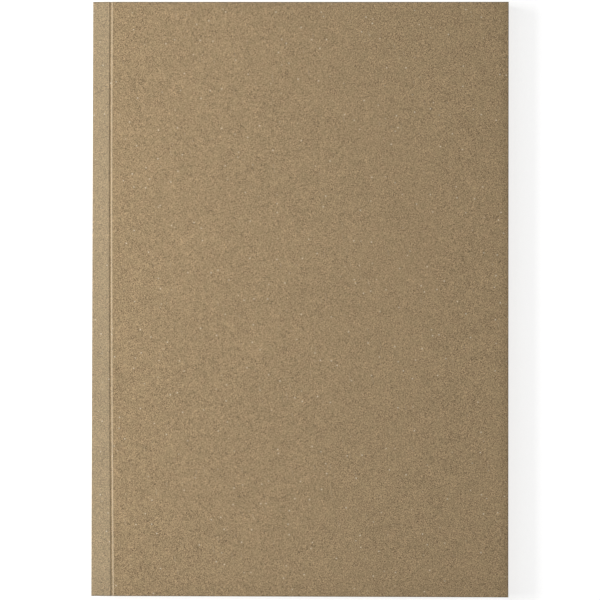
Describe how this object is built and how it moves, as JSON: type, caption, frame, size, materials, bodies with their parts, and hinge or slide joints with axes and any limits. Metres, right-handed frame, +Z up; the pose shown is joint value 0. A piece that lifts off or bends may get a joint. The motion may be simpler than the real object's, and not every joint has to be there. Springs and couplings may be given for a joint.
{
  "type": "pocket notebook",
  "caption": "Slim pocket notebook: glued block of blank paper leaves in a one-piece soft kraft card cover, scored beside the spine.",
  "frame": {"origin": "middle of the outer face of the back cover, with the notebook closed and lying on it", "axes": "+X from the spine to the fore edge, +Y to the head of the pages, +Z up through the front cover"},
  "size_m": [0.1036, 0.148, 0.0053],
  "materials": {
    "cover_card": "uncoated mottled kraft card, pressed score",
    "page_paper": "uncoated off-white writing paper",
    "binding_glue": "set hot-melt glue, satin"
  },
  "bodies": {
    "back_block": {"back_hinge_strip": "cover_card", "spine_back": "cover_card", "spine_glue_back": "binding_glue", "side_glue_back": "binding_glue", "leaf_29": "page_paper", "leaf_30": "page_paper", "leaf_31": "page_paper", "leaf_32": "page_paper", "leaf_33": "page_paper", "leaf_34": "page_paper", "leaf_35": "page_paper", "leaf_36": "page_paper", "leaf_37": "page_paper", "leaf_38": "page_paper", "leaf_39": "page_paper", "leaf_40": "page_paper", "leaf_41": "page_paper", "leaf_42": "page_paper", "leaf_43": "page_paper", "leaf_44": "page_paper"},
    "middle": {"spine_middle": "cover_card", "spine_glue_middle": "binding_glue", "leaf_23": "page_paper"},
    "front_block": {"front_hinge_strip": "cover_card", "spine_front": "cover_card", "spine_glue_front": "binding_glue", "side_glue_front": "binding_glue", "first_leaf_margin": "page_paper", "leaf_02": "page_paper", "leaf_03": "page_paper", "leaf_04": "page_paper", "leaf_05": "page_paper", "leaf_06": "page_paper", "leaf_07": "page_paper", "leaf_08": "page_paper", "leaf_09": "page_paper", "leaf_10": "page_paper", "leaf_11": "page_paper", "leaf_12": "page_paper", "leaf_13": "page_paper", "leaf_14": "page_paper", "leaf_15": "page_paper", "leaf_16": "page_paper", "leaf_17": "page_paper"},
    "first_leaf": {"leaf_01": "page_paper"},
    "front_cover": {"front_cover": "cover_card"},
    "back_cover": {"back_cover": "cover_card"},
    "fan_leaf_18": {"leaf_18": "page_paper"},
    "fan_leaf_19": {"leaf_19": "page_paper"},
    "fan_leaf_20": {"leaf_20": "page_paper"},
    "fan_leaf_21": {"leaf_21": "page_paper"},
    "fan_leaf_22": {"leaf_22": "page_paper"},
    "fan_leaf_24": {"leaf_24": "page_paper"},
    "fan_leaf_25": {"leaf_25": "page_paper"},
    "fan_leaf_26": {"leaf_26": "page_paper"},
    "fan_leaf_27": {"leaf_27": "page_paper"},
    "fan_leaf_28": {"leaf_28": "page_paper"}
  },
  "joints": [
    {"name": "spine_back_fold", "type": "hinge", "parent": "back_block", "child": "middle", "pos_m": [-0.05185, 0, 0.00205], "axis": [0, -1, 0], "range_deg": [0, 90]},
    {"name": "spine_front_fold", "type": "hinge", "parent": "middle", "child": "front_block", "pos_m": [-0.05185, 0, 0.00315], "axis": [0, -1, 0], "range_deg": [0, 90]},
    {"name": "first_leaf_turn", "type": "hinge", "parent": "front_block", "child": "first_leaf", "pos_m": [-0.0471, 0, 0.0054], "axis": [0, 1, 0], "range_deg": [-179.9, 0]},
    {"name": "front_cover_hinge", "type": "hinge", "parent": "first_leaf", "child": "front_cover", "pos_m": [-0.0471, 0, 0.0054], "axis": [0, -1, 0], "range_deg": [0, 179.9]},
    {"name": "back_cover_hinge", "type": "hinge", "parent": "back_block", "child": "back_cover", "pos_m": [-0.0471, 0, -0.0001], "axis": [0, -1, 0], "range_deg": [-179.9, 0]},
    {"name": "leaf_18_turn", "type": "hinge", "parent": "middle", "child": "fan_leaf_18", "pos_m": [-0.05185, 0, 0.00315], "axis": [0, -1, 0], "range_deg": [0, 75]},
    {"name": "leaf_19_turn", "type": "hinge", "parent": "middle", "child": "fan_leaf_19", "pos_m": [-0.05185, 0, 0.00315], "axis": [0, -1, 0], "range_deg": [0, 60]},
    {"name": "leaf_20_turn", "type": "hinge", "parent": "middle", "child": "fan_leaf_20", "pos_m": [-0.05185, 0, 0.00315], "axis": [0, -1, 0], "range_deg": [0, 45]},
    {"name": "leaf_21_turn", "type": "hinge", "parent": "middle", "child": "fan_leaf_21", "pos_m": [-0.05185, 0, 0.00315], "axis": [0, -1, 0], "range_deg": [0, 30]},
    {"name": "leaf_22_turn", "type": "hinge", "parent": "middle", "child": "fan_leaf_22", "pos_m": [-0.05185, 0, 0.00315], "axis": [0, -1, 0], "range_deg": [0, 15]},
    {"name": "leaf_24_turn", "type": "hinge", "parent": "middle", "child": "fan_leaf_24", "pos_m": [-0.05185, 0, 0.00205], "axis": [0, -1, 0], "range_deg": [-15, 0]},
    {"name": "leaf_25_turn", "type": "hinge", "parent": "middle", "child": "fan_leaf_25", "pos_m": [-0.05185, 0, 0.00205], "axis": [0, -1, 0], "range_deg": [-30, 0]},
    {"name": "leaf_26_turn", "type": "hinge", "parent": "middle", "child": "fan_leaf_26", "pos_m": [-0.05185, 0, 0.00205], "axis": [0, -1, 0], "range_deg": [-45, 0]},
    {"name": "leaf_27_turn", "type": "hinge", "parent": "middle", "child": "fan_leaf_27", "pos_m": [-0.05185, 0, 0.00205], "axis": [0, -1, 0], "range_deg": [-60, 0]},
    {"name": "leaf_28_turn", "type": "hinge", "parent": "middle", "child": "fan_leaf_28", "pos_m": [-0.05185, 0, 0.00205], "axis": [0, -1, 0], "range_deg": [-75, 0]}
  ],
  "couplings": [
    {"joint": "leaf_18_turn", "follows": "spine_front_fold", "ratio": 0.83333},
    {"joint": "leaf_19_turn", "follows": "spine_front_fold", "ratio": 0.66667},
    {"joint": "leaf_20_turn", "follows": "spine_front_fold", "ratio": 0.5},
    {"joint": "leaf_21_turn", "follows": "spine_front_fold", "ratio": 0.33333},
    {"joint": "leaf_22_turn", "follows": "spine_front_fold", "ratio": 0.16667},
    {"joint": "leaf_24_turn", "follows": "spine_back_fold", "ratio": -0.16667},
    {"joint": "leaf_25_turn", "follows": "spine_back_fold", "ratio": -0.33333},
    {"joint": "leaf_26_turn", "follows": "spine_back_fold", "ratio": -0.5},
    {"joint": "leaf_27_turn", "follows": "spine_back_fold", "ratio": -0.66667},
    {"joint": "leaf_28_turn", "follows": "spine_back_fold", "ratio": -0.83333}
  ]
}
